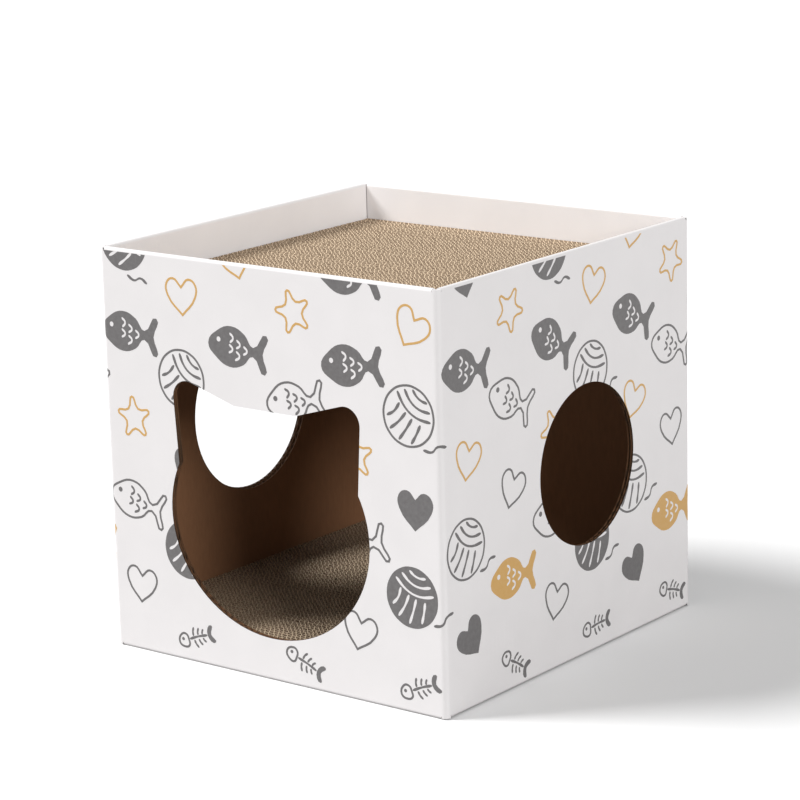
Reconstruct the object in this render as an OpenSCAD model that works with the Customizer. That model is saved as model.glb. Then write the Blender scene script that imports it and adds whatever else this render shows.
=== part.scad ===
// Cardboard cat house: a folded white carton with a cat-head doorway and two round windows,
// a brown lining that carries a shelf, and two corrugated scratching pads.
// Origin at the middle of the underside, front towards -Y, +Z up, millimetres.

/* [House] */
// Outside width, left to right
house_w = 400; // [380:1:460]
// Outside depth, front to back
house_d = 408; // [380:1:460]
// Height from the floor to the top of the rim
house_h = 395; // [370:1:440]
// Thickness of the white carton board
board_t = 3; // [2:0.5:4]
// Inside radius of the upright corner folds
corner_in_r = 3; // [2:0.5:6]
// How far the corner folds stop short of the rim and of the floor
corner_relief = 1; // [0.5:0.5:2]
// Gap left wherever two board edges meet
edge_gap = 0.5; // [0.3:0.1:1]
// Gap along the middle of the bottom, between a pair of flaps
seam_gap = 1; // [0.5:0.5:4]
// How far the side walls stay above the floor
side_lift = 1; // [0.5:0.5:1.5]

/* [Lining] */
// Thickness of the brown lining board
liner_t = 4; // [3:0.5:6]
// How much larger the lining's cut-outs are, all round
cutout_margin = 1; // [0:0.5:3]
// Width of the tab that glues the carton into a ring
tab_w = 35; // [25:1:50]
// How far the ends of the tab taper
tab_taper = 12; // [5:1:20]

/* [Shelf and pads] */
// Thickness of the shelf under the upper pad
shelf_t = 3; // [2:0.5:6]
// Thickness of the upper scratching pad
top_pad_t = 30; // [20:1:35]
// Depth of the upper pad's face below the rim
pad_drop = 36.5; // [20:0.5:45]
// Thickness of the lower scratching pad
bottom_pad_t = 28; // [20:1:32]
// Thickness of one corrugated strip in a pad
strip_t = 4.9; // [3:0.1:7]
// Depth of the groove between two strips
strip_groove = 0.8; // [0.4:0.1:1.2]
// Room between a pad and the boards beside it
pad_gap = 1; // [0.5:0.5:3]
// Gap between a pad and the board that carries it
pad_seat_gap = 0.3; // [0.2:0.1:0.5]

/* [Doorway] */
// Sideways place of the doorway on the front, from its middle
door_x = -2; // [-30:0.5:30]
// Height of the sill above the floor
door_sill_z = 41; // [38:1:60]
// Width of the face at the cheeks
door_face_w = 238; // [180:1:260]
// Height of the cheeks above the sill
door_cheek_h = 108; // [90:1:120]
// Width across the ears
door_ears_w = 223; // [160:1:235]
// How far the outer side of each ear leans out between the cheeks and the tip
door_ear_flare = 7; // [0:0.5:20]
// Board left between the ear tips and the shelf
door_ear_gap = 48.7; // [20:0.1:70]
// How far the brow lies below the ear tips
door_brow_drop = 16.5; // [5:0.5:40]
// Width of the brow between the ears
door_brow_w = 73; // [50:1:90]
// Radius of the ear tips
door_ear_r = 17; // [10:1:24]

/* [Windows] */
// Radius of the right window
right_window_r = 78; // [50:1:95]
// Place of the right window along the side, from its middle towards the back
right_window_y = 24.5; // [-40:0.5:40]
// Board left between the right window and the shelf
right_window_gap = 60.2; // [20:0.1:90]
// Radius of the left window
left_window_r = 85; // [50:1:95]
// Place of the left window along the side, from its middle towards the back
left_window_y = 0; // [-40:0.5:40]
// Board left between the left window and the shelf
left_window_gap = 42.2; // [20:0.1:90]

/* [Hidden] */
$fn = 96;
// Overrun of every cut past the faces it goes through
cut_over = 2;
// Chords in the round lower edge of the doorway
face_chords = 96;

white_board = [0.92, 0.91, 0.91];
brown_board = [0.62, 0.46, 0.31];
pad_board = [0.73, 0.62, 0.49];

// The four sides: each is drawn as the front, facing -Y, and turned into place by its angle
front_angle = 0;
right_angle = 90;
back_angle = 180;
left_angle = 270;
half_turn_angle = 180;
function across(angle) = angle % half_turn_angle == 0;
function side_length(angle) = across(angle) ? house_w : house_d;
function side_distance(angle) = (across(angle) ? house_d : house_w) / 2;

corner_r = corner_in_r + board_t;
floor_z = 2 * board_t;
shelf_z = house_h - pad_drop - top_pad_t - pad_seat_gap;
liner_top_z = shelf_z - shelf_t;
right_window_z = liner_top_z - right_window_gap - right_window_r;
left_window_z = liner_top_z - left_window_gap - left_window_r;
door_ear_h = liner_top_z - door_ear_gap - door_sill_z;
door_brow_h = door_ear_h - door_brow_drop;
// Ends of the folded edges, kept clear of the corner folds and of each other
fold_inset = board_t + max(corner_in_r, board_t) + edge_gap;
// Front and back flaps lie outermost; the side flaps climb on to them just behind their folds
function fold_z(angle) = across(angle) ? 0 : side_lift;
function flap_z(angle) = across(angle) ? 0 : board_t;
climb_end = 2 * board_t - side_lift;
function flap_half_width(angle) =
    across(angle) ? house_w / 2 - climb_end - edge_gap : house_d / 2 - board_t - edge_gap;

// Ends of the lining boards: against a wall's corner fold, against a neighbour, against the tab
liner_end_at_corner = corner_r + edge_gap;
liner_end_at_liner = board_t + max(liner_t, corner_in_r) + edge_gap;
liner_end_at_tab = corner_r + tab_w + edge_gap;

top_pad_w = house_w - 4 * board_t - 2 * pad_gap;
top_pad_d = house_d - 4 * board_t - 2 * pad_gap;
bottom_pad_w = house_w - 2 * (board_t + liner_t) - 2 * pad_gap;
bottom_pad_d = house_d - 2 * (board_t + liner_t) - 2 * pad_gap;

// Turns a panel drawn with its outer face on y = 0, inwards +y, to one side of the house
module on_side(angle) {
    rotate([0, 0, angle])
        translate([0, -side_distance(angle), 0])
            children();
}

// Draws a profile given as depth and height along a side of the house
module along_side(length) {
    rotate([90, 0, 90])
        linear_extrude(height = length, center = true)
            children();
}

// Cuts an outline given as x and z through boards from the outer face to a depth
module through_boards(depth) {
    translate([0, depth + cut_over, 0])
        rotate([90, 0, 0])
            linear_extrude(height = depth + 2 * cut_over)
                children();
}

// One half of an upright corner fold, seen from above, at the +x end of a side
module half_corner_fold(length) {
    translate([length / 2 - corner_r, corner_r])
        intersection() {
            difference() {
                circle(r = corner_r);
                circle(r = corner_in_r);
            }
            polygon([[0, 0], [0, -corner_r - cut_over], [corner_r + cut_over, -corner_r - cut_over]]);
        }
}

// A carton wall: flat between the folds, with half of the corner fold at each end
module wall_panel(angle) {
    length = side_length(angle);
    bottom_z = fold_z(angle) + board_t;
    flat_length = length - 2 * corner_r;
    translate([-flat_length / 2, 0, bottom_z])
        cube([flat_length, board_t, house_h - board_t - bottom_z]);
    for (end = [0, 1])
        mirror([end, 0, 0])
            translate([0, 0, corner_relief])
                linear_extrude(height = house_h - 2 * corner_relief)
                    half_corner_fold(length);
}

// Where a line from a point touches a circle, on the circle's right side (1) or left side (-1)
// as seen from the point
function tangent_point(point, centre, radius, hand) =
    let (
        away = point - centre,
        angle = atan2(away[1], away[0]) + hand * acos(radius / norm(away))
    )
    centre + radius * [cos(angle), sin(angle)];

// Outline of the cat-head doorway as x and height above the sill, enlarged all round
module doorway_outline(margin) {
    face_r = door_face_w / 2 + margin;
    chin_r = door_cheek_h + margin;
    ear_x = door_ears_w / 2 + margin;
    ear_r = door_ear_r + margin;
    tip = [ear_x - ear_r, door_ear_h + margin - ear_r];
    foot = [ear_x - door_ear_flare, door_cheek_h];
    brow = [door_brow_w / 2, door_brow_h + margin];
    translate([0, door_cheek_h])
        polygon([
            for (i = [0:face_chords - 1])
                [face_r * cos(360 * i / face_chords), chin_r * sin(360 * i / face_chords)]
        ]);
    for (end = [0, 1])
        mirror([end, 0]) {
            polygon([
                [0, door_cheek_h], foot, tangent_point(foot, tip, ear_r, 1),
                tangent_point(brow, tip, ear_r, -1), brow, [0, brow[1]]
            ]);
            translate(tip)
                circle(r = ear_r);
        }
}

// The doorway cut through the front boards
module doorway_cut(depth, margin) {
    translate([door_x, 0, door_sill_z])
        through_boards(depth)
            doorway_outline(margin);
}

// A round window cut through the boards of one side
module window_cut(depth, x, z, radius) {
    translate([x, 0, z])
        through_boards(depth)
            circle(r = radius);
}

// A bottom flap: the quarter-round fold under its wall, the climb behind it, and the plate that
// reaches to the seam
module bottom_flap(angle) {
    fold_half = side_length(angle) / 2 - fold_inset;
    plate_half = flap_half_width(angle);
    reach = side_distance(angle) - seam_gap / 2;
    low = fold_z(angle);
    high = flap_z(angle);
    along_side(2 * fold_half) {
        intersection() {
            translate([board_t, low + board_t])
                circle(r = board_t);
            translate([0, low])
                square(board_t);
        }
        polygon([
            [board_t, low], [climb_end, high], [reach, high],
            [reach, high + board_t], [climb_end, high + board_t], [board_t, low + board_t]
        ]);
    }
    translate([-plate_half, fold_inset, high])
        cube([2 * plate_half, reach - fold_inset, board_t]);
}

// A rim flap: rolled over the top of its wall and down inside to the shelf
module rim_flap(angle) {
    along_side(side_length(angle) - 2 * fold_inset) {
        intersection() {
            translate([board_t, house_h - board_t])
                circle(r = board_t);
            translate([0, house_h - board_t])
                square([2 * board_t, board_t]);
        }
        translate([board_t, shelf_z])
            square([board_t, house_h - board_t - shelf_z]);
    }
}

// A lining board, given how far each end stops from the outside of the house
module liner_panel(angle, start_inset, end_inset) {
    length = side_length(angle) - start_inset - end_inset;
    translate([start_inset - side_length(angle) / 2, board_t, floor_z])
        cube([length, liner_t, liner_top_z - floor_z]);
}

// A pad of corrugated strips glued face to face, with a groove along each glue line
module strip_pad(width, depth, thickness) {
    strips = floor(depth / strip_t);
    pitch = depth / strips;
    lands = [
        for (i = [0:strips - 1])
            each [
                [i * pitch, thickness - strip_groove],
                [i * pitch + strip_groove / 2, thickness],
                [(i + 1) * pitch - strip_groove / 2, thickness]
            ]
    ];
    undersides = [
        for (i = [strips - 1:-1:0])
            each [
                [(i + 1) * pitch, strip_groove],
                [(i + 1) * pitch - strip_groove / 2, 0],
                [i * pitch + strip_groove / 2, 0]
            ]
    ];
    translate([0, -depth / 2, 0])
        along_side(width)
            polygon(concat(
                lands, [[depth, thickness - strip_groove]], undersides, [[0, strip_groove]]
            ));
}

module front_wall() {
    color(white_board)
        on_side(front_angle)
            difference() {
                wall_panel(front_angle);
                doorway_cut(board_t, 0);
            }
}

module right_wall() {
    color(white_board)
        on_side(right_angle)
            difference() {
                wall_panel(right_angle);
                window_cut(board_t, right_window_y, right_window_z, right_window_r);
            }
}

module back_wall() {
    color(white_board)
        on_side(back_angle)
            wall_panel(back_angle);
}

module left_wall() {
    color(white_board)
        on_side(left_angle)
            difference() {
                wall_panel(left_angle);
                window_cut(board_t, -left_window_y, left_window_z, left_window_r);
            }
}

// Tapered tab from the left wall, glued inside the back wall
module glue_tab() {
    near = house_w / 2 - corner_r;
    far = near - tab_w;
    color(white_board)
        on_side(back_angle)
            translate([0, 2 * board_t, 0])
                rotate([90, 0, 0])
                    linear_extrude(height = board_t)
                        polygon([
                            [near, floor_z], [near, liner_top_z],
                            [far, liner_top_z - tab_taper], [far, floor_z + tab_taper]
                        ]);
}

module front_bottom_flap() {
    color(white_board)
        on_side(front_angle)
            bottom_flap(front_angle);
}

module right_bottom_flap() {
    color(white_board)
        on_side(right_angle)
            bottom_flap(right_angle);
}

module back_bottom_flap() {
    color(white_board)
        on_side(back_angle)
            bottom_flap(back_angle);
}

module left_bottom_flap() {
    color(white_board)
        on_side(left_angle)
            bottom_flap(left_angle);
}

module front_rim_flap() {
    color(white_board)
        on_side(front_angle)
            rim_flap(front_angle);
}

module right_rim_flap() {
    color(white_board)
        on_side(right_angle)
            rim_flap(right_angle);
}

module back_rim_flap() {
    color(white_board)
        on_side(back_angle)
            rim_flap(back_angle);
}

module left_rim_flap() {
    color(white_board)
        on_side(left_angle)
            rim_flap(left_angle);
}

module front_liner() {
    color(brown_board)
        on_side(front_angle)
            difference() {
                liner_panel(front_angle, liner_end_at_liner, liner_end_at_liner);
                doorway_cut(board_t + liner_t, cutout_margin);
            }
}

module right_liner() {
    color(brown_board)
        on_side(right_angle)
            difference() {
                liner_panel(right_angle, liner_end_at_corner, liner_end_at_corner);
                window_cut(
                    board_t + liner_t, right_window_y, right_window_z, right_window_r + cutout_margin
                );
            }
}

module back_liner() {
    color(brown_board)
        on_side(back_angle)
            liner_panel(back_angle, liner_end_at_liner, liner_end_at_tab);
}

module left_liner() {
    color(brown_board)
        on_side(left_angle)
            difference() {
                liner_panel(left_angle, liner_end_at_corner, liner_end_at_corner);
                window_cut(
                    board_t + liner_t, -left_window_y, left_window_z, left_window_r + cutout_margin
                );
            }
}

// Flat board on top of the lining, held down by the lower edges of the rim flaps
module shelf_board() {
    width = house_w - 2 * (board_t + edge_gap);
    depth = house_d - 2 * (board_t + edge_gap);
    notch = corner_in_r;
    color(brown_board)
        translate([0, 0, liner_top_z])
            linear_extrude(height = shelf_t)
                difference() {
                    square([width, depth], center = true);
                    for (x = [-width / 2, width / 2], y = [-depth / 2, depth / 2])
                        translate([x, y])
                            square(2 * notch, center = true);
                }
}

module top_pad() {
    color(pad_board)
        translate([0, 0, shelf_z + pad_seat_gap])
            strip_pad(top_pad_w, top_pad_d, top_pad_t);
}

module bottom_pad() {
    color(pad_board)
        translate([0, 0, floor_z + pad_seat_gap])
            strip_pad(bottom_pad_w, bottom_pad_d, bottom_pad_t);
}

front_wall();
right_wall();
back_wall();
left_wall();
glue_tab();
front_bottom_flap();
right_bottom_flap();
back_bottom_flap();
left_bottom_flap();
front_rim_flap();
right_rim_flap();
back_rim_flap();
left_rim_flap();
front_liner();
right_liner();
back_liner();
left_liner();
shelf_board();
top_pad();
bottom_pad();
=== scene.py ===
import math
import random

import bmesh
import bpy
from bpy.props import FloatProperty, FloatVectorProperty, IntProperty, PointerProperty
from mathutils import Matrix, Vector


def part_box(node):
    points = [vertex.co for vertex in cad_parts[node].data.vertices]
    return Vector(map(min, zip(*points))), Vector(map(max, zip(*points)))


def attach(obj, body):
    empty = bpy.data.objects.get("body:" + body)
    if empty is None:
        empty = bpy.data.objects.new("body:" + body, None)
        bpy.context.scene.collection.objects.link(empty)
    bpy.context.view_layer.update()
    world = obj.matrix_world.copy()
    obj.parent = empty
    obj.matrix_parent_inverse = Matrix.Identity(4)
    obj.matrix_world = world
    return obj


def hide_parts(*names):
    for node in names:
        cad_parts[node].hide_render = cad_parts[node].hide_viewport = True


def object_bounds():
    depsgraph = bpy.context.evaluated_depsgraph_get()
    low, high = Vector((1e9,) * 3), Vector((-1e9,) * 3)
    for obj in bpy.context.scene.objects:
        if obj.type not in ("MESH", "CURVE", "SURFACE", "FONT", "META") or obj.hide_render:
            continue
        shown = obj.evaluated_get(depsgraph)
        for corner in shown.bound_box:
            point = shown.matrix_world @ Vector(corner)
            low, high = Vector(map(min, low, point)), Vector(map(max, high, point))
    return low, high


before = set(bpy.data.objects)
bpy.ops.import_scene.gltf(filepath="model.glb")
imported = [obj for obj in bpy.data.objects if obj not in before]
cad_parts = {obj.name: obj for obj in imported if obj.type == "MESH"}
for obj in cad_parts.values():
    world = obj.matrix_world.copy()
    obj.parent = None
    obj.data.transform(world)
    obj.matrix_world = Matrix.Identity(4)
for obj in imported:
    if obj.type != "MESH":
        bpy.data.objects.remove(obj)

bl_info = {
    "name": "Cardboard Cat House",
    "version": (1, 0, 0),
    "blender": (4, 5, 0),
    "location": "3D View > Sidebar > Cat House",
    "description": "Boards, print, scratching pads and studio for a folded cardboard cat house",
    "category": "Object",
}

# Measures read from the frame; a rim flap lies over its wall, so it is two boards deep
CAD_LOW, CAD_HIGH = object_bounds()
RIM_LOW, RIM_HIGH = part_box("front_rim_flap")
LINING_LOW, LINING_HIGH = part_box("front_liner")
HOUSE_W, HOUSE_D, HOUSE_H = CAD_HIGH - CAD_LOW
BOARD_T = (RIM_HIGH.y - RIM_LOW.y) / 2
LINING_T = LINING_HIGH.y - LINING_LOW.y
TURN = 2 * math.pi
QUARTER_TURN = math.pi / 2
# Corners closer together than this are one corner
WELD = 1e-6
# Faces that meet at less than this angle belong to one round
ROUND_BEND = math.radians(30)

# The sides in the order of the flat blank, and where each faces
FACING = {"left": (-1, 0), "front": (0, -1), "right": (1, 0), "back": (0, 1)}


def outward(side):
    """Unit vector that points out of the house on one side."""
    return Vector((*FACING[side], 0))


def rightward(side):
    """Unit vector that points right along a side, seen from outside."""
    x, y = FACING[side]
    return Vector((-y, x, 0))


def side_length(side):
    """Outside length of a side."""
    return HOUSE_W if FACING[side][0] == 0 else HOUSE_D


def flat_length(side, radius):
    """Length of a side between its corner folds."""
    return side_length(side) - 2 * radius


def side_distance(side):
    """Distance of a side's outer face from the middle of the house."""
    return (HOUSE_D if FACING[side][0] == 0 else HOUSE_W) / 2


def length_setting(name, description, default):
    """A size in metres that a user may change."""
    return FloatProperty(name=name, description=description, default=default, unit="LENGTH", precision=5)


def colour_setting(name, description, default):
    """A colour that a user may change."""
    return FloatVectorProperty(
        name=name, description=description, default=default, subtype="COLOR", size=3, min=0, max=1
    )


def plain_setting(name, description, default):
    """A plain number that a user may change."""
    return FloatProperty(name=name, description=description, default=default)


def angle_setting(name, description, degrees):
    """An angle that a user may change."""
    return FloatProperty(
        name=name, description=description, default=math.radians(degrees), subtype="ANGLE"
    )


class BoardSettings(bpy.types.PropertyGroup):
    """Papers of the carton and of its lining."""

    white: colour_setting("White", "Coated face of the carton", (0.84, 0.815, 0.815))
    kraft: colour_setting("Kraft", "Brown face of the lining and the shelf", (0.25, 0.122, 0.06))
    # The fluting is darker than brown paper as painted shade, so that the cut edges round the doorway and
    # the windows read dark
    fluting: colour_setting("Fluting", "Wavy paper between two faces", (0.075, 0.04, 0.021))
    fold_radius: length_setting("Fold radius", "Outer radius of the upright corner folds", 0.006)
    face_paper: length_setting("Face paper", "Thickness of a board's face paper", 0.00045)
    wave_paper: length_setting("Wave paper", "Thickness of a board's wavy paper", 0.0003)
    carton_wave: length_setting("Carton wave", "Length of one wave in the carton board", 0.0063)
    lining_wave: length_setting("Lining wave", "Length of one wave in the lining board", 0.0079)
    washboard: length_setting("Washboard", "Height of the waves that show through a face", 0.000012)


class PrintSettings(bpy.types.PropertyGroup):
    """Inks and layout of the print."""

    grey: colour_setting("Grey ink", "Main ink of the print", (0.125, 0.118, 0.118))
    mustard: colour_setting("Mustard ink", "Second ink of the print", (0.62, 0.36, 0.105))
    large: length_setting("Large motif", "Length of the large motifs", 0.072)
    small: length_setting("Small motif", "Length of the small motifs", 0.047)
    line: length_setting("Line", "Width of the drawn lines", 0.0021)
    row: length_setting("Row", "Height from a motif to the next above it", 0.083)
    columns: IntProperty(
        name="Columns", description="Columns of motifs round the house", default=24, min=8
    )
    film: length_setting("Film", "Thickness of the ink", 0.0002)
    lift: length_setting("Lift", "Height of the ink above the board", 0.00012)
    seed: IntProperty(name="Seed", description="Seed of the motifs' turns", default=7)


class PadSettings(bpy.types.PropertyGroup):
    """Paper strips of the scratching pads."""

    # The cut edge's paleness is partly the paper's own and partly painted light on the strips' tops; the
    # paper is darker than plain kraft as painted shade inside the flutes
    edge: colour_setting("Cut edge", "Pale cut edge of the strips", (0.97, 0.755, 0.53))
    paper: colour_setting("Paper", "Kraft paper of the strips", (0.29, 0.195, 0.125))
    strip: length_setting("Strip", "Thickness of one corrugated strip", 0.0049)
    wave: length_setting("Wave", "Length of one wave in a strip", 0.0054)
    face_paper: length_setting("Face paper", "Thickness of the two glued faces between waves", 0.0005)
    wave_paper: length_setting("Wave paper", "Thickness of a wavy paper", 0.0008)
    # The lower pad's papers are darkened by this share as painted shade, since the pad lies low inside
    # the house
    lower_pad_painted_shade_share: plain_setting("Lower shade", "Brightness of the lower pad, as a share", 0.72)
    drift: angle_setting("Drift", "How far a strip's wave shifts along the strip", 55)
    stray: angle_setting("Stray", "How far a wave strays from even within its strip", 30)
    turned_share: plain_setting("Turned share", "Share of the strips that lie the other way round", 0.10)
    unevenness: length_setting("Unevenness", "How far strips stand above or below each other", 0.0003)
    seed: IntProperty(name="Seed", description="Seed of the strips' offsets", default=11)


class StageSettings(bpy.types.PropertyGroup):
    """Floor, light and camera."""

    floor: colour_setting("Floor", "Colour of the floor as it is seen", (0.95, 0.95, 0.95))
    bounce: colour_setting("Bounce", "Colour of the floor as it lights the house", (0.42, 0.42, 0.42))
    ambient: plain_setting("Ambient", "Strength of the light from all round", 0.40)
    key: plain_setting("Key", "Strength of the main lamp on a face square to it", 1.00)
    key_azimuth: angle_setting("Key azimuth", "Main lamp's turn from the front, to the right", -57)
    key_elevation: angle_setting("Key elevation", "Main lamp's height as an angle", 46)
    key_softness: angle_setting("Key softness", "Angle that the main lamp fills", 24)
    fill: plain_setting("Fill", "Strength of the second lamp on a face square to it", 0.47)
    fill_azimuth: angle_setting("Fill azimuth", "Second lamp's turn from the front, to the right", 67)
    fill_elevation: angle_setting("Fill elevation", "Second lamp's height as an angle", 19)
    fill_softness: angle_setting("Fill softness", "Angle that the second lamp fills", 18)
    camera_azimuth: angle_setting("Camera azimuth", "Camera's turn from the front, to the right", 37.8791)
    camera_elevation: angle_setting("Camera elevation", "Camera's height as an angle", 13.7307)
    camera_roll: angle_setting("Camera roll", "Camera's tilt to the side", -1.4966)
    camera_place: FloatVectorProperty(
        name="Camera place", description="Where the camera stands",
        default=(1.731584, -2.229390, 0.917867), subtype="TRANSLATION",
    )
    lens: FloatProperty(name="Lens", description="Focal length in millimetres", default=134.671)


# Helpers for meshes

# Ways in which a sheet gets its thickness
INWARDS = -1
BOTH_WAYS = 0
# Rows and columns of a matrix that turns and moves
MATRIX_SIZE = 4


def turn_about(axis, angle):
    """Matrix of a turn about an axis."""
    return Matrix.Rotation(angle, MATRIX_SIZE, axis)


def new_piece(name, bm, *materials):
    """Makes an object of a finished bmesh and frees it."""
    mesh = bpy.data.meshes.new(name)
    bm.to_mesh(mesh)
    bm.free()
    piece = bpy.data.objects.new(name, mesh)
    for material in materials:
        mesh.materials.append(material)
    bpy.context.scene.collection.objects.link(piece)
    return piece


def settle(piece):
    """Applies a piece's modifiers, so that its mesh holds its finished shape."""
    graph = bpy.context.evaluated_depsgraph_get()
    finished = bpy.data.meshes.new_from_object(piece.evaluated_get(graph))
    rough = piece.data
    piece.modifiers.clear()
    piece.data = finished
    bpy.data.meshes.remove(rough)
    finished.name = piece.name
    return piece


def discard(*pieces):
    """Removes helper objects with their meshes."""
    for piece in pieces:
        mesh = piece.data
        bpy.data.objects.remove(piece)
        bpy.data.meshes.remove(mesh)


def thicken(piece, thickness, way, edge_paper=0):
    """Gives a sheet its thickness. The edge takes the paper so many places after the face's own."""
    solid = piece.modifiers.new("thickness", "SOLIDIFY")
    solid.thickness = thickness
    solid.offset = way
    solid.use_even_offset = True
    solid.use_quality_normals = True
    solid.material_offset_rim = edge_paper


def trim_to(piece, solid):
    """Keeps only what lies inside a closed solid."""
    cut = piece.modifiers.new("die_cut", "BOOLEAN")
    cut.operation = "INTERSECT"
    cut.solver = "EXACT"
    cut.object = solid


def welded_copy(node):
    """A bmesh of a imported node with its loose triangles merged."""
    bm = bmesh.new()
    bm.from_mesh(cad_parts[node].data)
    bmesh.ops.remove_doubles(bm, verts=bm.verts, dist=WELD)
    return bm


def keep_faces(bm, wanted):
    """Deletes all faces but the wanted ones."""
    spare = [face for face in bm.faces if not wanted(face)]
    bmesh.ops.delete(bm, geom=spare, context="FACES")


def soften(bm):
    """Shades rounds as one smooth surface, up to the sharpest bend that still counts as round."""
    for face in bm.faces:
        face.smooth = True
    for edge in bm.edges:
        edge.smooth = edge.calc_face_angle(math.pi) < ROUND_BEND


# Helpers for materials

# Places of a mix node's sockets: two numbers, two colours, and the mixed colour
NUMBER_SOCKETS = (2, 3)
COLOUR_SOCKETS = (6, 7)
MIXED_COLOUR = 2
# A face whose normal leans this far towards X lies on the left or the right
SIDEWAYS_FACING = 0.7


def add_node(tree, kind, inputs=None, **settings):
    """Adds a node, sets its options, and links or sets its inputs."""
    made = tree.nodes.new(kind)
    for option, value in settings.items():
        setattr(made, option, value)
    for socket, value in (inputs or {}).items():
        if isinstance(value, bpy.types.NodeSocket):
            tree.links.new(value, made.inputs[socket])
        else:
            made.inputs[socket].default_value = value
    return made


def calculate(tree, operation, *values):
    """Adds a math node and gives its result."""
    return add_node(tree, "ShaderNodeMath", dict(enumerate(values)), operation=operation).outputs[0]


def mix_colours(tree, share, first, second):
    """Adds a colour mix and gives its result. Colours are sockets or red, green and blue."""
    inputs = {"Factor": share}
    for socket, colour in zip(COLOUR_SOCKETS, (first, second)):
        inputs[socket] = colour if isinstance(colour, bpy.types.NodeSocket) else (*colour, 1)
    return add_node(tree, "ShaderNodeMix", inputs, data_type="RGBA").outputs[MIXED_COLOUR]


def noise(tree, place, size, detail=2.0, roughness=0.5):
    """Adds noise whose spots are about one size across and gives its strength."""
    return add_node(
        tree, "ShaderNodeTexNoise",
        {"Vector": place, "Scale": 1 / size, "Detail": detail, "Roughness": roughness},
    ).outputs["Fac"]


def spread(tree, value, low, high, to_low=0.0, to_high=1.0):
    """Adds a map from one range to another and gives its result."""
    return add_node(
        tree, "ShaderNodeMapRange",
        {"Value": value, "From Min": low, "From Max": high, "To Min": to_low, "To Max": to_high},
    ).outputs[0]


def stretched(tree, place, scale):
    """Stretches a pattern along the axes."""
    return add_node(tree, "ShaderNodeMapping", {"Vector": place, "Scale": scale}).outputs[0]


def new_material(name):
    """Makes a material and gives it with its node tree, its shader and its place on the piece."""
    material = bpy.data.materials.new(name)
    material.use_nodes = True
    tree = material.node_tree
    shader = tree.nodes["Principled BSDF"]
    place = add_node(tree, "ShaderNodeTexCoord").outputs["Object"]
    return material, tree, shader, place


def along_face(tree, place):
    """Horizontal place along a face: X on the front and back, Y on the sides."""
    axes = add_node(tree, "ShaderNodeSeparateXYZ", {"Vector": place})
    normal = add_node(tree, "ShaderNodeNewGeometry").outputs["Normal"]
    facing = add_node(tree, "ShaderNodeSeparateXYZ", {"Vector": normal})
    lean = calculate(tree, "ABSOLUTE", facing.outputs["X"])
    sideways = calculate(tree, "GREATER_THAN", lean, SIDEWAYS_FACING)
    first, second = NUMBER_SOCKETS
    return add_node(
        tree, "ShaderNodeMix",
        {"Factor": sideways, first: axes.outputs["X"], second: axes.outputs["Y"]}, data_type="FLOAT",
    ).outputs[0]


def washboard(tree, place, wave):
    """Height of the waves that show through a board's face, from -1 to 1."""
    turns = calculate(tree, "MULTIPLY", along_face(tree, place), TURN / wave)
    return calculate(tree, "SINE", turns)


def emboss(tree, shader, waves, grain, grain_share, height):
    """Raises a face by the waves that show through it and by a fine grain."""
    coarse = calculate(tree, "MULTIPLY", waves, height)
    fine = calculate(tree, "MULTIPLY", grain, grain_share * height)
    bump = add_node(
        tree, "ShaderNodeBump",
        {"Height": calculate(tree, "ADD", coarse, fine), "Distance": 1.0, "Strength": 1.0},
    )
    tree.links.new(bump.outputs[0], shader.inputs["Normal"])


def toned(colour, share):
    """A colour made darker or paler."""
    return tuple(min(1.0, share * c) for c in colour)


# The white paper: sizes of its clouds and its tooth, its worn tone, its roughness and the tooth's height
WHITE_CLOUD = 0.05
WHITE_TOOTH = 0.0006
WORN_SHARE = 0.965
WHITE_ROUGHNESS = (0.42, 0.54)
TOOTH_SHARE = 0.6
# The brown papers: sizes and stretch of their patterns
KRAFT_FIBRE = 0.0022
KRAFT_FIBRE_STRETCH = (1.0, 1.0, 0.18)
KRAFT_FLECK = 0.0016
KRAFT_CLOUD = 0.06
# Tones of the brown papers, and how much the clouds and the flecks cover
KRAFT_DARK_SHARE = 0.90
KRAFT_PALE_SHARE = 1.07
KRAFT_FLECK_SHARE = 0.6
CLOUD_COVER_SHARE = 0.45
FLECK_COVER_SHARE = 0.30
KRAFT_ROUGHNESS = 0.85
KRAFT_SHINE = 0.25
FIBRE_HEIGHT_SHARE = 1.6
# The inks: size of uneven cover, how much paper shows where it is thin, and roughness
INK_COVER = 0.004
THIN_INK_SHARE = 0.05
INK_ROUGHNESS = (0.40, 0.50)
# The pads' paper: its fibres, its dark tone, its roughness and shine, and the fibres' height
PAD_FIBRE = 0.0012
PAD_FIBRE_STRETCH = (1.0, 1.0, 0.35)
PAD_DARK_SHARE = 0.72
PAD_ROUGHNESS = 0.9
PAD_SHINE = 0.2
PAD_FIBRE_HEIGHT = 0.0001
PAD_BUMP_SHARE = 0.6
# Parts of a noise's strength that a pattern spreads over
CLOUD_RANGE = (0.3, 0.7)
SHEEN_RANGE = (0.2, 0.8)
FIBRE_RANGE = (0.32, 0.68)
FLECK_RANGE = (0.72, 0.80)
COVER_RANGE = (0.35, 0.75)
PAD_FIBRE_RANGE = (0.35, 0.7)


def white_board(settings):
    """Coated white paper: near even, with faint upright waves and a fine tooth."""
    material, tree, shader, place = new_material("white_board")
    cloud = noise(tree, place, WHITE_CLOUD, detail=3.0)
    tooth = noise(tree, place, WHITE_TOOTH, detail=3.0)
    worn = toned(settings.white, WORN_SHARE)
    colour = mix_colours(tree, spread(tree, cloud, *CLOUD_RANGE), worn, settings.white)
    tree.links.new(colour, shader.inputs["Base Color"])
    tree.links.new(spread(tree, cloud, *SHEEN_RANGE, *WHITE_ROUGHNESS), shader.inputs["Roughness"])
    waves = washboard(tree, place, settings.carton_wave)
    emboss(tree, shader, waves, tooth, TOOTH_SHARE, settings.washboard)
    return material


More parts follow.
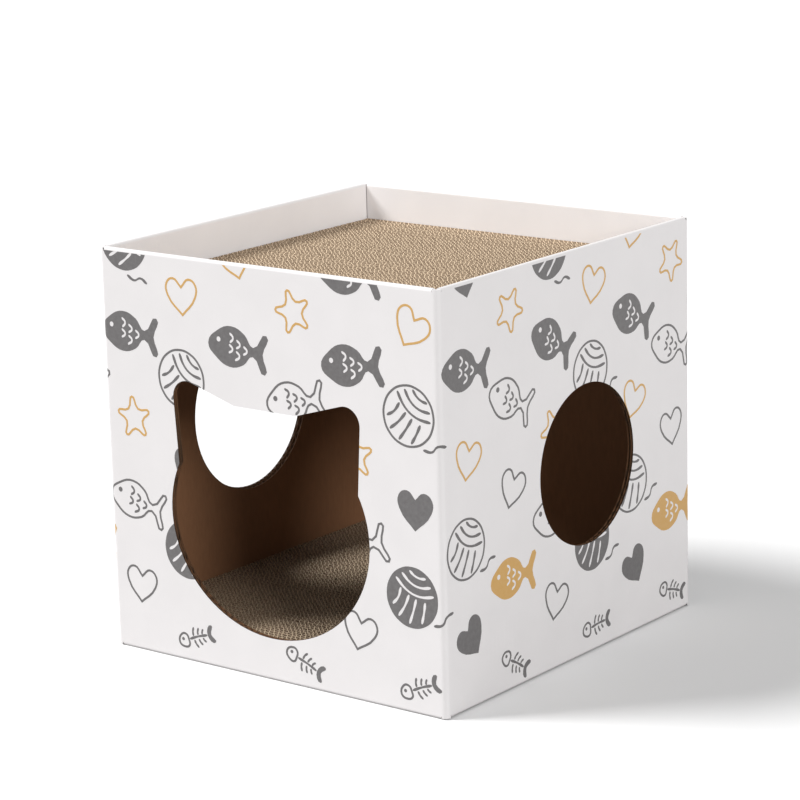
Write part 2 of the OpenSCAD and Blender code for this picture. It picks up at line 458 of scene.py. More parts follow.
def kraft_board(name, colour, wave, settings):
    """Uncoated brown paper with long fibres, flecks and faint waves."""
    material, tree, shader, place = new_material(name)
    long_place = stretched(tree, place, KRAFT_FIBRE_STRETCH)
    fibres = noise(tree, long_place, KRAFT_FIBRE, detail=5.0, roughness=0.65)
    flecks = noise(tree, place, KRAFT_FLECK, detail=1.0)
    cloud = noise(tree, place, KRAFT_CLOUD, detail=2.0)
    dark = toned(colour, KRAFT_DARK_SHARE)
    pale = toned(colour, KRAFT_PALE_SHARE)
    fleck = toned(colour, KRAFT_FLECK_SHARE)
    body = mix_colours(tree, spread(tree, fibres, *FIBRE_RANGE), dark, pale)
    clouded = spread(tree, cloud, *CLOUD_RANGE, 0.0, CLOUD_COVER_SHARE)
    flecked = spread(tree, flecks, *FLECK_RANGE, 0.0, FLECK_COVER_SHARE)
    speckled = mix_colours(tree, flecked, mix_colours(tree, clouded, body, dark), fleck)
    tree.links.new(speckled, shader.inputs["Base Color"])
    shader.inputs["Roughness"].default_value = KRAFT_ROUGHNESS
    shader.inputs["Specular IOR Level"].default_value = KRAFT_SHINE
    emboss(tree, shader, washboard(tree, place, wave), fibres, FIBRE_HEIGHT_SHARE, settings.washboard)
    return material


def brown_papers(settings):
    """The brown face paper and the wavy paper, which the carton and its lining share; the wavy paper is
    darkened as painted shade.
    """
    kraft = bpy.data.materials.get("kraft_board")
    fluting = bpy.data.materials.get("fluting")
    if kraft is None:
        kraft = kraft_board("kraft_board", settings.kraft, settings.lining_wave, settings)
    if fluting is None:
        fluting = kraft_board("fluting", settings.fluting, settings.lining_wave, settings)
    return kraft, fluting


def ink(name, colour):
    """Printed ink: slightly uneven cover with the sheen of the coated paper."""
    material, tree, shader, place = new_material(name)
    cover = noise(tree, place, INK_COVER, detail=4.0, roughness=0.6)
    thin = tuple(c + THIN_INK_SHARE * (1 - c) for c in colour)
    uneven = mix_colours(tree, spread(tree, cover, *COVER_RANGE), colour, thin)
    tree.links.new(uneven, shader.inputs["Base Color"])
    tree.links.new(spread(tree, cover, *CLOUD_RANGE, *INK_ROUGHNESS), shader.inputs["Roughness"])
    return material


def pad_paper(name, colour):
    """Kraft paper of the pads, with fibres."""
    material, tree, shader, place = new_material(name)
    long_place = stretched(tree, place, PAD_FIBRE_STRETCH)
    fibres = noise(tree, long_place, PAD_FIBRE, detail=4.0, roughness=0.65)
    fibrous = spread(tree, fibres, *PAD_FIBRE_RANGE)
    mixed = mix_colours(tree, fibrous, toned(colour, PAD_DARK_SHARE), colour)
    tree.links.new(mixed, shader.inputs["Base Color"])
    shader.inputs["Roughness"].default_value = PAD_ROUGHNESS
    shader.inputs["Specular IOR Level"].default_value = PAD_SHINE
    bump = add_node(
        tree, "ShaderNodeBump",
        {"Height": fibres, "Distance": PAD_FIBRE_HEIGHT, "Strength": PAD_BUMP_SHARE},
    )
    tree.links.new(bump.outputs[0], shader.inputs["Normal"])
    return material


# Corrugated boards

# Mesh columns in one wave
WAVE_STEPS = 8
# Half the width of a grid that is one unit wide
HALF_UNIT = 0.5


def wavy_sheet(bm, low, high, middle, swing, wave, phase=0.0, strays=()):
    """Adds an upright sheet from low to high in X and Z that waves in Y about a middle.

    Each stray is a strength, a length and a phase, and draws the even wave out and together.
    """
    columns = round((high.x - low.x) / wave * WAVE_STEPS)
    corners = bmesh.ops.create_grid(bm, x_segments=columns, y_segments=1, size=HALF_UNIT)["verts"]
    for corner in corners:
        across = corner.co.x + HALF_UNIT
        up = corner.co.y + HALF_UNIT
        x = low.x + across * (high.x - low.x)
        angle = TURN * (x - low.x) / wave + phase
        for strength, length, start in strays:
            angle += strength * math.sin(TURN * (x - low.x) / length + start)
        corner.co = (x, middle + swing * math.sin(angle), low.z + up * (high.z - low.z))


# A face counts as flat above the first cosine, and as part of the outside above the second
FLAT_FACING = 0.999
OUTSIDE_FACING = 0.65
# A wavy core stops this far short of its board's upper and lower edges
CORE_INSET = 0.0002
# Places of a board's papers among its materials
OUTSIDE_PAPER, INSIDE_PAPER, WAVY_PAPER = range(3)
# The ends of a side, seen from outside
LEFT_END = -1
RIGHT_END = 1


def paint(piece, paper):
    """Gives all faces of a helper piece one of its board's papers."""
    for polygon in piece.data.polygons:
        polygon.material_index = paper


def face_sheet(node, side, papers, paper, thickness):
    """A flat board's outer or inner face paper, whose cut edge is as dark as the wavy paper, which is
    darkened as painted shade.
    """
    facing = outward(side) if paper == OUTSIDE_PAPER else -outward(side)
    bm = welded_copy(node)
    keep_faces(bm, lambda face: face.normal.dot(facing) > FLAT_FACING)
    sheet = new_piece(f"{node}_sheet", bm, *papers)
    paint(sheet, paper)
    thicken(sheet, thickness, INWARDS, WAVY_PAPER - paper)
    return settle(sheet)


def wavy_core(node, side, papers, reach, wave, settings):
    """The wavy paper between a board's faces, to both sides of its middle, cut to its outline."""
    low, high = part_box(node)
    depth = min(side_distance(side) - abs(corner.dot(outward(side))) for corner in (low, high))
    thickness = LINING_T if "liner" in node else BOARD_T
    swing = (thickness - 2 * settings.face_paper - settings.wave_paper) / 2
    bm = bmesh.new()
    start = Vector((-reach, 0, low.z + CORE_INSET))
    end = Vector((reach, 0, high.z - CORE_INSET))
    wavy_sheet(bm, start, end, depth + thickness / 2, swing, wave)
    turn = math.atan2(rightward(side).y, rightward(side).x)
    place = turn_about("Z", turn) @ Matrix.Translation((0, -side_distance(side), 0))
    bmesh.ops.transform(bm, matrix=place, verts=bm.verts)
    core = new_piece(f"{node}_core", bm, *papers)
    paint(core, WAVY_PAPER)
    thicken(core, settings.wave_paper, BOTH_WAYS)
    solid = new_piece(f"{node}_solid", welded_copy(node))
    trim_to(core, solid)
    settle(core)
    discard(solid)
    paint(core, WAVY_PAPER)
    return core


def corner_fold(node, side, papers, radius, end):
    """A crushed corner fold at one end of a wall."""
    bm = welded_copy(node)
    heading = rightward(side) * end
    cut = bmesh.ops.bisect_plane(
        bm, geom=bm.verts[:] + bm.edges[:] + bm.faces[:],
        plane_co=heading * flat_length(side, radius) / 2, plane_no=heading, clear_inner=True,
    )
    edges = [item for item in cut["geom_cut"] if isinstance(item, bmesh.types.BMEdge)]
    bmesh.ops.edgeloop_fill(bm, edges=edges)
    soften(bm)
    fold = new_piece(f"{node}_fold", bm, *papers)
    paint(fold, OUTSIDE_PAPER)
    return fold


def join_as(name, pieces, materials):
    """Joins helper pieces into one object."""
    bm = bmesh.new()
    for piece in pieces:
        bm.from_mesh(piece.data)
    discard(*pieces)
    return new_piece(name, bm, *materials)


def lay_board(node, papers, pieces):
    """Joins a board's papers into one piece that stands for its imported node."""
    board = join_as(f"{node}_papers", pieces, papers)
    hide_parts(node)
    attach(board, "carton")


def folded_flap(node, papers, is_white):
    """A flap with its fold: white on the faces that the test finds, brown on the others."""
    bm = welded_copy(node)
    for face in bm.faces:
        face.material_index = OUTSIDE_PAPER if is_white(face.normal) else INSIDE_PAPER
    soften(bm)
    lay_board(node, papers, [new_piece(f"{node}_flap", bm, *papers)])


def dress(node, material):
    """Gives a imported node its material."""
    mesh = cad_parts[node].data
    mesh.materials.clear()
    mesh.materials.append(material)


# Carton and lining


class CATHOUSE_OT_carton(bpy.types.Operator):
    """Lays up the white carton: corrugated walls with corner folds, flaps and rim"""

    bl_idname = "cathouse.carton"
    bl_label = "Carton"

    def execute(self, context):
        settings = context.scene.cathouse_boards
        radius = settings.fold_radius
        papers = (white_board(settings), *brown_papers(settings))
        for side in FACING:
            node = f"{side}_wall"
            half = flat_length(side, radius) / 2
            pieces = [
                face_sheet(node, side, papers, OUTSIDE_PAPER, settings.face_paper),
                face_sheet(node, side, papers, INSIDE_PAPER, settings.face_paper),
                wavy_core(node, side, papers, half, settings.carton_wave, settings),
                corner_fold(node, side, papers, radius, LEFT_END),
                corner_fold(node, side, papers, radius, RIGHT_END),
            ]
            lay_board(node, papers, pieces)
            out = outward(side)
            # A rim flap is white on all but its downward faces, its cut ends too, where the board would
            # be brown: this hides the brown cut edge and lightens the shaded gaps at the corners as
            # painted light
            folded_flap(f"{side}_rim_flap", papers, lambda normal: normal.z > -OUTSIDE_FACING)
            folded_flap(
                f"{side}_bottom_flap", papers,
                lambda normal: normal.z < -OUTSIDE_FACING or normal.dot(out) > OUTSIDE_FACING,
            )
        dress("glue_tab", papers[INSIDE_PAPER])
        return {"FINISHED"}


class CATHOUSE_OT_lining(bpy.types.Operator):
    """Lays up the brown lining boards and finishes the shelf"""

    bl_idname = "cathouse.lining"
    bl_label = "Lining"

    def execute(self, context):
        settings = context.scene.cathouse_boards
        kraft, fluting = brown_papers(settings)
        papers = (kraft, kraft, fluting)
        for side in FACING:
            node = f"{side}_liner"
            pieces = [
                face_sheet(node, side, papers, OUTSIDE_PAPER, settings.face_paper),
                face_sheet(node, side, papers, INSIDE_PAPER, settings.face_paper),
                wavy_core(node, side, papers, side_length(side) / 2, settings.lining_wave, settings),
            ]
            lay_board(node, papers, pieces)
        dress("shelf_board", kraft)
        return {"FINISHED"}


# Motifs of the print, as shares of their length: smooth closed outlines, and pen strokes through points.
# Eyes and the ball are a middle and a radius.

FISH_SHARES = (
    (-0.50, -0.02), (-0.36, 0.17), (-0.13, 0.27), (0.10, 0.20), (0.25, 0.06), (0.46, 0.26),
    (0.41, 0.00), (0.46, -0.26), (0.25, -0.06), (0.10, -0.20), (-0.13, -0.27), (-0.36, -0.18),
)
FISH_EYE_SHARES = ((-0.33, 0.06), 0.034)
FISH_STROKE_SHARES = (
    ((-0.14, 0.17), (-0.09, 0.12), (-0.13, 0.06)),
    ((-0.14, 0.02), (-0.09, -0.03), (-0.14, -0.08)),
    ((-0.02, 0.10), (0.03, 0.05), (-0.02, 0.00)),
    ((-0.02, -0.05), (0.03, -0.10), (-0.03, -0.16)),
    ((0.10, 0.04), (0.15, -0.01), (0.10, -0.06)),
)
BONE_HEAD_SHARES = (
    (-0.50, -0.02), (-0.36, 0.16), (-0.22, 0.12), (-0.19, -0.02), (-0.22, -0.14), (-0.36, -0.16),
)
BONE_EYE_SHARES = ((-0.36, 0.03), 0.035)
BONE_TAIL_SHARES = ((0.33, 0.00), (0.50, 0.18), (0.43, 0.00), (0.50, -0.18))
BONE_STROKE_SHARES = (
    ((-0.16, 0.00), (0.07, 0.012), (0.30, 0.00)),
    ((-0.06, 0.06), (-0.045, 0.13), (-0.005, 0.20)),
    ((-0.06, -0.06), (-0.045, -0.13), (-0.005, -0.20)),
    ((0.07, 0.06), (0.085, 0.11), (0.12, 0.165)),
    ((0.07, -0.06), (0.085, -0.11), (0.12, -0.165)),
    ((0.19, 0.055), (0.205, 0.09), (0.235, 0.125)),
    ((0.19, -0.055), (0.205, -0.09), (0.235, -0.125)),
)
# Bones are drawn this much thinner than other lines
BONE_LINE_SHARE = 0.9
HEART_SHARES = (
    (0.00, -0.40), (0.38, 0.00), (0.40, 0.26), (0.20, 0.38),
    (0.00, 0.22), (-0.20, 0.38), (-0.40, 0.26), (-0.38, 0.00),
)
# Places of the heart's sharp corners in its outline
HEART_CORNERS = (0, 4)
STAR_OUTER_SHARE = 0.46
STAR_INNER_SHARE = 0.25
STAR_POINTS = 5
BALL_SHARES = ((-0.06, 0.06), 0.40)
# Wound strands around one point, in shares of the ball's radius, with first and last angle in degrees
STRAND_CENTRE_SHARES = (0.95, 0.95)
STRAND_ARC_SHARES = ((0.62, 196, 254), (0.92, 188, 262), (1.22, 188, 262))
# Strands across those, and the loose end, in shares of the ball's radius
STRAND_SHARES = (
    ((-0.80, 0.10), (-0.52, 0.20), (-0.28, 0.42)),
    ((-0.78, -0.32), (-0.42, -0.14), (-0.10, 0.10)),
    ((-0.50, -0.68), (-0.18, -0.40), (0.10, -0.12)),
    ((-0.05, -0.85), (0.18, -0.60), (0.38, -0.34)),
)
LOOSE_END_SHARES = ((0.38, -1.10), (0.68, -1.17), (0.92, -1.02), (1.20, -1.10))
# Points that draw an eye, a ball and a strand, and steps between two points
EYE_POINTS = 6
BALL_POINTS = 12
STRAND_POINTS = 4
CURVE_STEPS = 4


def stroke(points, width):
    """Outline of a pen stroke of even width through a few points, with round ends."""
    knots = [Vector(point) for point in points]
    first = knots[0] * 2 - knots[1]
    last = knots[-1] * 2 - knots[-2]
    left = []
    right = []
    for before, here, after in zip([first, *knots], knots, [*knots[1:], last]):
        along = (after - before).normalized() * width / 2
        aside = Vector((-along.y, along.x))
        left.append(here + aside)
        right.append(here - aside)
    start = knots[0] + (knots[0] - knots[1]).normalized() * width / 2
    end = knots[-1] + (knots[-1] - knots[-2]).normalized() * width / 2
    return [start, *left, end, *reversed(right)]


def on_circle(middle, radius, angles):
    """Points of a circle at some angles."""
    return [(middle[0] + radius * math.cos(a), middle[1] + radius * math.sin(a)) for a in angles]


def ring_of_points(middle, radius, count):
    """Points all round a circle."""
    return on_circle(middle, radius, [TURN * i / count for i in range(count)])


def arc_of_points(middle, radius, start, end, count):
    """Points on an arc, with its angles in degrees."""
    angles = [math.radians(start + (end - start) * i / (count - 1)) for i in range(count)]
    return on_circle(middle, radius, angles)


def filled(outlines, corners=()):
    """Flat bmesh of smooth closed outlines; an outline inside another is a hole. Corners stay sharp."""
    curve = bpy.data.curves.new("motif", "CURVE")
    curve.dimensions = "2D"
    curve.fill_mode = "BOTH"
    curve.resolution_u = CURVE_STEPS
    for outline in outlines:
        spline = curve.splines.new("BEZIER")
        spline.bezier_points.add(len(outline) - 1)
        spline.use_cyclic_u = True
        for index, (knot, point) in enumerate(zip(spline.bezier_points, outline)):
            knot.co = (*point[:2], 0)
            handle = "VECTOR" if index in corners else "AUTO"
            knot.handle_left_type = handle
            knot.handle_right_type = handle
    drawn = bpy.data.objects.new("motif", curve)
    bpy.context.scene.collection.objects.link(drawn)
    graph = bpy.context.evaluated_depsgraph_get()
    mesh = bpy.data.meshes.new_from_object(drawn.evaluated_get(graph))
    bm = bmesh.new()
    bm.from_mesh(mesh)
    bpy.data.objects.remove(drawn)
    bpy.data.curves.remove(curve)
    bpy.data.meshes.remove(mesh)
    bmesh.ops.remove_doubles(bm, verts=bm.verts, dist=WELD)
    bmesh.ops.recalc_face_normals(bm, faces=bm.faces)
    if bm.faces and bm.faces[:][0].normal.z < 0:
        bmesh.ops.reverse_faces(bm, faces=bm.faces)
    return bm


def outlined(outline, width, corners=()):
    """Flat bmesh of a line drawn just inside a smooth closed outline."""
    bm = filled([outline], corners)
    inside = bm.faces[:]
    bmesh.ops.inset_region(bm, faces=inside, thickness=width, use_boundary=True, use_even_offset=True)
    bmesh.ops.delete(bm, geom=inside, context="FACES")
    return bm


def flat_mesh(name, *parts):
    """Joins flat bmeshes into one mesh and frees them."""
    whole = bmesh.new()
    for part in parts:
        mesh = bpy.data.meshes.new(name)
        part.to_mesh(mesh)
        part.free()
        whole.from_mesh(mesh)
        bpy.data.meshes.remove(mesh)
    mesh = bpy.data.meshes.new(name)
    whole.to_mesh(mesh)
    whole.free()
    return mesh


def scaled(points, size):
    """Points given as shares of a size, in metres."""
    return [Vector(point) * size for point in points]


def fish(size, line, solid):
    """A fish, solid with pale marks or drawn in line."""
    body = scaled(FISH_SHARES, size)
    middle, radius = FISH_EYE_SHARES
    eye = ring_of_points(Vector(middle) * size, radius * size, EYE_POINTS)
    marks = [stroke(scaled(points, size), line) for points in FISH_STROKE_SHARES]
    if solid:
        return flat_mesh("fish_solid", filled([body, eye, *marks]))
    return flat_mesh("fish_line", outlined(body, line), filled([eye, *marks]))


def fish_bone(size, line):
    """A fish bone drawn in line."""
    head = outlined(scaled(BONE_HEAD_SHARES, size), line)
    middle, radius = BONE_EYE_SHARES
    eye = ring_of_points(Vector(middle) * size, radius * size, EYE_POINTS)
    bones = [stroke(scaled(points, size), BONE_LINE_SHARE * line) for points in BONE_STROKE_SHARES]
    return flat_mesh("fish_bone", head, filled([eye, scaled(BONE_TAIL_SHARES, size), *bones]))


def heart(size, line, solid):
    """A heart, solid or drawn in line."""
    outline = scaled(HEART_SHARES, size)
    if solid:
        return flat_mesh("heart_solid", filled([outline], HEART_CORNERS))
    return flat_mesh("heart_line", outlined(outline, line, HEART_CORNERS))


def star(size, line):
    """A soft star drawn in line."""
    reach = (STAR_OUTER_SHARE, STAR_INNER_SHARE)
    outline = []
    for index in range(2 * STAR_POINTS):
        angle = QUARTER_TURN + math.pi * index / STAR_POINTS
        outline.append(Vector((math.cos(angle), math.sin(angle))) * reach[index % 2] * size)
    return flat_mesh("star_line", outlined(outline, line))


def yarn_ball(size, line, solid):
    """A ball of yarn with wound strands and a loose end, solid with pale strands or drawn in line."""
    middle = Vector(BALL_SHARES[0]) * size
    radius = BALL_SHARES[1] * size
    ball = ring_of_points(middle, radius, BALL_POINTS)
    centre = middle + Vector(STRAND_CENTRE_SHARES) * radius
    strands = [
        stroke(arc_of_points(centre, share * radius, start, end, STRAND_POINTS), line)
        for share, start, end in STRAND_ARC_SHARES
    ]
    for points in (*STRAND_SHARES, LOOSE_END_SHARES):
        strands.append(stroke([middle + Vector(point) * radius for point in points], line))
    if solid:
        return flat_mesh("yarn_solid", filled([ball, *strands]))
    return flat_mesh("yarn_line", outlined(ball, line), filled(strands))


# The flat blank and how it folds

# Bends that make up a corner fold
FOLD_STEPS = 6
# Place of the lowest motifs, as a share of a row
FIRST_ROW_SHARE = -0.2
# Motifs turn up to this many degrees to either side
MOTIF_TURN = 32


def fold_angle_steps():
    """Angles at which the blank bends inside a corner fold."""
    return [QUARTER_TURN * step / FOLD_STEPS for step in range(FOLD_STEPS + 1)]


def blank_length(radius):
    """Length of the flat blank round the house."""
    return sum(flat_length(side, radius) + radius * QUARTER_TURN for side in FACING)


def fold_lines(radius):
    """Places along the blank where it bends."""
    lines = []
    along = 0.0
    for side in FACING:
        along += flat_length(side, radius)
        lines.extend(along + radius * angle for angle in fold_angle_steps())
        along += radius * QUARTER_TURN
    round_again = blank_length(radius)
    return [line + turns * round_again for turns in (-1, 0, 1) for line in lines]


def fold_place(along, up, lift, radius):
    """Where a point of the flat blank lies on the folded house, lifted off its face."""
    along %= blank_length(radius)
    for side in FACING:
        flat = flat_length(side, radius)
        out = outward(side)
        heading = rightward(side)
        if along <= flat:
            place = out * (side_distance(side) + lift) + heading * (along - flat / 2)
            break
        along -= flat
        angle = along / radius
        # The last fold takes what rounding leaves over
        if angle <= QUARTER_TURN or side == "back":
            middle = out * (side_distance(side) - radius) + heading * flat / 2
            place = middle + (out * math.cos(angle) + heading * math.sin(angle)) * (radius + lift)
            break
        along -= radius * QUARTER_TURN
    place.z = up
    return place


def print_layout(settings, radius):
    """Places, turns and choices of the motifs on the flat blank: columns set half a row apart."""
    chance = random.Random(settings.seed)
    column = blank_length(radius) / settings.columns
    rows = math.ceil(HOUSE_H / settings.row) + 1
    for across in range(settings.columns):
        for up in range(rows):
            along = column * (across + 1 / 2)
            height = settings.row * (up + (across % 2) / 2 + FIRST_ROW_SHARE)
            turn = math.radians(chance.uniform(-MOTIF_TURN, MOTIF_TURN))
            yield across, up, Vector((along, height, 0)), turn


# A motif whose middle lies further out than this share of its length is left off
OUTSIDE_SHARE = 0.2
# Motifs cut by the top edge are plain ones
EDGE_ORDER = ("heart_solid", "fish_solid", "heart_mustard", "yarn_solid")
# Large and small motifs in the order they come, and those in the second ink
LARGE_ORDER = ("yarn_solid", "fish_line", "fish_solid", "fish_mustard", "yarn_line", "fish_solid")
SMALL_ORDER = ("heart_mustard", "bone", "heart_solid", "star_mustard", "bone", "heart_line")
MUSTARD_MOTIFS = ("fish_mustard", "heart_mustard", "star_mustard")
# The skin that trims an ink's film to a wall is this many films thick
SKIN_FILMS = 10


class CATHOUSE_OT_print(bpy.types.Operator):
    """Prints a pattern of fish, yarn, hearts and stars round the carton"""

    bl_idname = "cathouse.print"
    bl_label = "Print"

    def execute(self, context):
        settings = context.scene.cathouse_print
        radius = context.scene.cathouse_boards.fold_radius
        motifs = self.draw_motifs(settings.large, settings.small, settings.line)
        sheets = {"grey": bmesh.new(), "mustard": bmesh.new()}
        self.lay_out(motifs, sheets, settings, radius)
        inks = {"grey": ink("grey_ink", settings.grey), "mustard": ink("mustard_ink", settings.mustard)}
        for colour, sheet in sheets.items():
            film = self.fold_sheet(f"{colour}_film", sheet, settings.lift, radius)
            for side in FACING:
                self.print_wall(side, colour, film, inks[colour], settings)
            discard(film)
        for mesh in set(motifs.values()):
            bpy.data.meshes.remove(mesh)
        return {"FINISHED"}

    def draw_motifs(self, large, small, line):
        """Flat meshes of all motifs, by name."""
        motifs = {
            "yarn_solid": yarn_ball(large, line, True),
            "yarn_line": yarn_ball(large, line, False),
            "fish_solid": fish(large, line, True),
            "fish_line": fish(large, line, False),
            "bone": fish_bone(small, line),
            "heart_solid": heart(small, line, True),
            "heart_line": heart(small, line, False),
            "star_mustard": star(small, line),
        }
        motifs["fish_mustard"] = motifs["fish_solid"]
        motifs["heart_mustard"] = motifs["heart_line"]
        return motifs

    def lay_out(self, motifs, sheets, settings, radius):
        """Lays the motifs on the flat blank, each on the sheet of its ink."""
        for across, up, place, turn in print_layout(settings, radius):
            large = (across + up) % 2 == 0
            size = settings.large if large else settings.small
            if place.y < -OUTSIDE_SHARE * size or place.y > HOUSE_H + OUTSIDE_SHARE * size:
                continue
            order = LARGE_ORDER if large else SMALL_ORDER
            if place.y + size / 2 > HOUSE_H + BOARD_T:
                order = EDGE_ORDER
            chosen = order[(across // 2 + 2 * up + across) % len(order)]
            sheet = sheets["mustard" if chosen in MUSTARD_MOTIFS else "grey"]
            before = len(sheet.verts)
            sheet.from_mesh(motifs[chosen])
            sheet.verts.ensure_lookup_table()
            move = Matrix.Translation(place) @ turn_about("Z", turn)
            bmesh.ops.transform(sheet, matrix=move, verts=sheet.verts[before:])

    def fold_sheet(self, name, sheet, lift, radius):
        """Folds a flat sheet of ink round the house."""
        for along in fold_lines(radius):
            bmesh.ops.bisect_plane(
                sheet, geom=sheet.verts[:] + sheet.edges[:] + sheet.faces[:],
                plane_co=(along, 0, 0), plane_no=(1, 0, 0),
            )
        for corner in sheet.verts:
            corner.co = fold_place(corner.co.x, corner.co.y, lift, radius)
        return new_piece(name, sheet)

    def print_wall(self, side, colour, film, material, settings):
        """Trims one ink's film to one wall's outer face."""
        node = f"{side}_wall"
        skin_bm = welded_copy(node)
        keep_faces(skin_bm, lambda face: face.normal.dot(outward(side)) > OUTSIDE_FACING)
        skin = new_piece(f"{side}_skin", skin_bm)
        thicken(skin, SKIN_FILMS * settings.film, BOTH_WAYS)
        piece = bpy.data.objects.new(f"{side}_print_{colour}", film.data.copy())
        bpy.context.scene.collection.objects.link(piece)
        thicken(piece, settings.film, INWARDS)
        trim_to(piece, skin)
        settle(piece)
        discard(skin)
        if not piece.data.polygons:
            raise RuntimeError(f"no {colour} ink is left on the {side} wall")
        piece.data.materials.clear()
        piece.data.materials.append(material)
        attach(piece, "carton")


# Scratching pads

# Lengths over which a pad's waves are drawn out and together, as shares of a wave
STRAY_SHARES = (2.6, 4.3)
# Places of a pad's papers among its materials: the pale cut edge, partly painted light on the tops, and
# the paper side, darkened as painted shade inside the flutes
CUT_EDGE_WITH_PAINTED_LIGHT, PAPER_SIDE_WITH_PAINTED_SHADE = range(2)


class CATHOUSE_OT_pads(bpy.types.Operator):
    """Lays up the two scratching pads from corrugated strips on edge"""

    bl_idname = "cathouse.pads"
    bl_label = "Scratching pads"

    def execute(self, context):
        settings = context.scene.cathouse_pads
        chance = random.Random(settings.seed)
        # The lower pad takes darker copies of the same papers: painted shade
        for node, shade in (("top_pad", 1.0), ("bottom_pad", settings.lower_pad_painted_shade_share)):
            papers = (
                pad_paper(f"{node}_edge", toned(settings.edge, shade)),
                pad_paper(f"{node}_paper", toned(settings.paper, shade)),
            )
            self.lay_pad(node, papers, settings, chance)
        return {"FINISHED"}

    def lay_pad(self, node, papers, settings, chance):
        """Makes a pad's front and back halves of upright wavy sheets between glued faces."""
        low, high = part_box(node)
        strips = math.floor((high.y - low.y) / settings.strip)
        pitch = (high.y - low.y - settings.face_paper) / strips
        swing = (pitch - settings.face_paper - settings.wave_paper) / 2
        halves = {"front": range(0, strips // 2), "back": range(strips // 2, strips)}
        for half, numbers in halves.items():
            waves = bmesh.new()
            faces = bmesh.new()
            for number in numbers:
                y = low.y + settings.face_paper / 2 + number * pitch
                sink = chance.uniform(0, settings.unevenness)
                top = Vector((high.x, 0, high.z - sink))
                phase = chance.gauss(0, settings.drift)
                turned = math.pi if chance.random() < settings.turned_share else 0.0
                strays = [
                    (settings.stray, share * settings.wave, chance.uniform(0, TURN))
                    for share in STRAY_SHARES
                ]
                wavy_sheet(waves, low, top, y + pitch / 2, swing, settings.wave, phase + turned, strays)
                self.add_face(faces, low, high, y, settings, chance)
            if half == "back":
                self.add_face(faces, low, high, high.y - settings.face_paper / 2, settings, chance)
            wavy = new_piece(f"{node}_{half}_waves", waves)
            thicken(wavy, settings.wave_paper, BOTH_WAYS)
            settle(wavy)
            flat = new_piece(f"{node}_{half}_faces", faces)
            pad = join_as(f"{node}_{half}_half", [wavy, flat], papers)
            # Upward faces take the pale cut edge, partly painted light; all others take the paper,
            # darkened as painted shade
            for polygon in pad.data.polygons:
                polygon.material_index = CUT_EDGE_WITH_PAINTED_LIGHT if polygon.normal.z > FLAT_FACING else PAPER_SIDE_WITH_PAINTED_SHADE
            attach(pad, node)
            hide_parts(node)

    def add_face(self, bm, low, high, y, settings, chance):
        """Adds one glued pair of face papers."""
        top = high.z - chance.uniform(0, settings.unevenness)
        size = Vector((high.x - low.x, settings.face_paper, top - low.z))
        middle = Vector(((low.x + high.x) / 2, y, (low.z + top) / 2))
        bmesh.ops.create_cube(bm, size=1, matrix=Matrix.LocRotScale(middle, None, size))


# Stage

# How far the floor reaches, how far it lies below the house, and how far the camera sees
FLOOR_REACH = 6
FLOOR_DROP = 0.0002
CAMERA_REACH = 50


def seen_share(tree):
    """1 for what is seen straight, mirrored or through glass, and 0 for light on the house."""
    rays = add_node(tree, "ShaderNodeLightPath").outputs
    mirrored = calculate(tree, "MAXIMUM", rays["Is Camera Ray"], rays["Is Glossy Ray"])
    return calculate(tree, "MAXIMUM", mirrored, rays["Is Transmission Ray"])


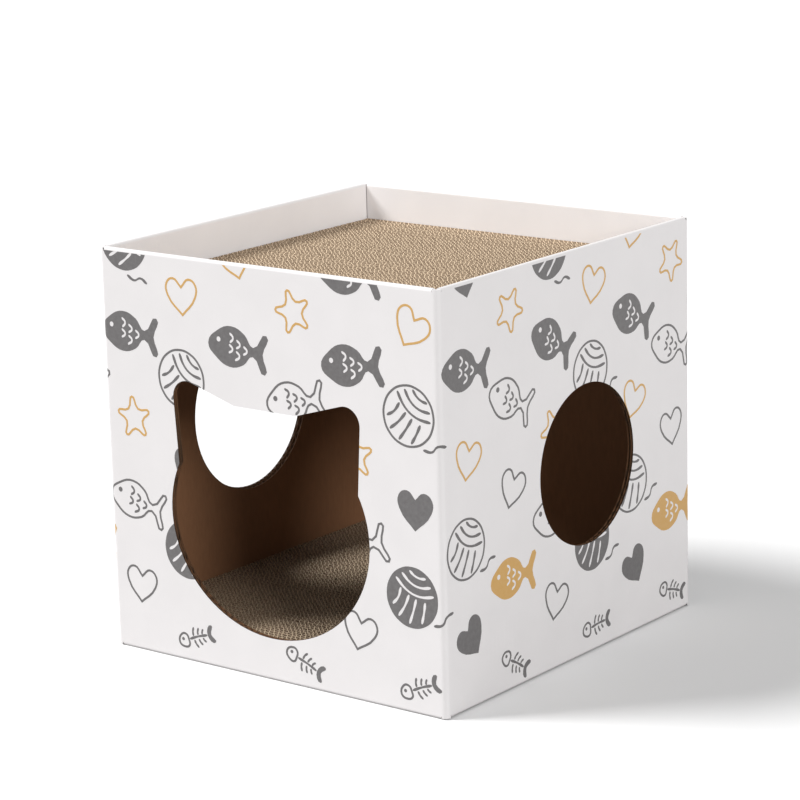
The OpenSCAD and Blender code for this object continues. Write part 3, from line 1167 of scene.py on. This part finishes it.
class CATHOUSE_OT_stage(bpy.types.Operator):
    """Sets the floor, the light and the camera"""

    bl_idname = "cathouse.stage"
    bl_label = "Stage"

    def execute(self, context):
        settings = context.scene.cathouse_stage
        context.scene.view_settings.view_transform = "Standard"
        self.lay_floor(settings)
        self.light_world(context, settings)
        for lamp in ("key", "fill"):
            self.hang_lamp(
                context, lamp, getattr(settings, lamp), getattr(settings, f"{lamp}_azimuth"),
                getattr(settings, f"{lamp}_elevation"), getattr(settings, f"{lamp}_softness"),
            )
        self.place_camera(context, settings)
        return {"FINISHED"}

    def lay_floor(self, settings):
        """A wide pale floor just under the house."""
        bm = bmesh.new()
        bmesh.ops.create_grid(bm, x_segments=1, y_segments=1, size=FLOOR_REACH)
        bmesh.ops.translate(bm, vec=(0, 0, -FLOOR_DROP), verts=bm.verts)
        material, tree, shader, _ = new_material("floor")
        colour = mix_colours(tree, seen_share(tree), settings.bounce, settings.floor)
        tree.links.new(colour, shader.inputs["Base Color"])
        shader.inputs["Roughness"].default_value = 1.0
        shader.inputs["Specular IOR Level"].default_value = 0.0
        floor = new_piece("floor", bm, material)

    def light_world(self, context, settings):
        """Even light from all round, white where it is seen straight, mirrored or through glass."""
        world = bpy.data.worlds.new("studio")
        world.use_nodes = True
        context.scene.world = world
        tree = world.node_tree
        strength = spread(tree, seen_share(tree), 0.0, 1.0, settings.ambient, 1.0)
        tree.links.new(strength, tree.nodes["Background"].inputs["Strength"])
        tree.nodes["Background"].inputs["Color"].default_value = (1, 1, 1, 1)

    def hang_lamp(self, context, name, strength, azimuth, elevation, softness):
        """A far soft lamp that shines on the house from one side."""
        lamp = bpy.data.lights.new(name, "SUN")
        lamp.energy = strength * math.pi
        lamp.angle = softness
        hung = bpy.data.objects.new(name, lamp)
        hung.matrix_world = turn_about("Z", azimuth) @ turn_about("X", QUARTER_TURN - elevation)
        context.scene.collection.objects.link(hung)

    def place_camera(self, context, settings):
        """The camera at the viewing angle of the product picture."""
        lens = bpy.data.cameras.new("camera")
        lens.lens = settings.lens
        lens.clip_end = CAMERA_REACH
        camera = bpy.data.objects.new("camera", lens)
        turn = turn_about("Z", settings.camera_azimuth)
        tilt = turn_about("X", QUARTER_TURN - settings.camera_elevation)
        roll = turn_about("Z", settings.camera_roll)
        camera.matrix_world = Matrix.Translation(settings.camera_place) @ turn @ tilt @ roll
        context.scene.collection.objects.link(camera)
        context.scene.camera = camera


class CATHOUSE_PT_sidebar(bpy.types.Panel):
    """Lists the steps that finish the cat house"""

    bl_idname = "CATHOUSE_PT_sidebar"
    bl_label = "Cat House"
    bl_space_type = "VIEW_3D"
    bl_region_type = "UI"
    bl_category = "Cat House"

    def draw(self, context):
        """Shows one button for each step."""
        for operator in OPERATORS:
            self.layout.operator(operator.bl_idname)


SETTINGS = {
    "cathouse_boards": BoardSettings,
    "cathouse_print": PrintSettings,
    "cathouse_pads": PadSettings,
    "cathouse_stage": StageSettings,
}
OPERATORS = (
    CATHOUSE_OT_carton, CATHOUSE_OT_lining, CATHOUSE_OT_print, CATHOUSE_OT_pads, CATHOUSE_OT_stage,
)


def register():
    """Adds the settings, the steps and the panel."""
    for group in (*SETTINGS.values(), *OPERATORS, CATHOUSE_PT_sidebar):
        bpy.utils.register_class(group)
    for name, group in SETTINGS.items():
        setattr(bpy.types.Scene, name, PointerProperty(type=group))


def unregister():
    """Takes them away again."""
    for name in SETTINGS:
        delattr(bpy.types.Scene, name)
    for group in reversed((*SETTINGS.values(), *OPERATORS, CATHOUSE_PT_sidebar)):
        bpy.utils.unregister_class(group)


def main():
    """Runs all steps."""
    register()
    bpy.ops.cathouse.carton()
    bpy.ops.cathouse.lining()
    bpy.ops.cathouse.print()
    bpy.ops.cathouse.pads()
    bpy.ops.cathouse.stage()


if __name__ == "__main__":
    main()
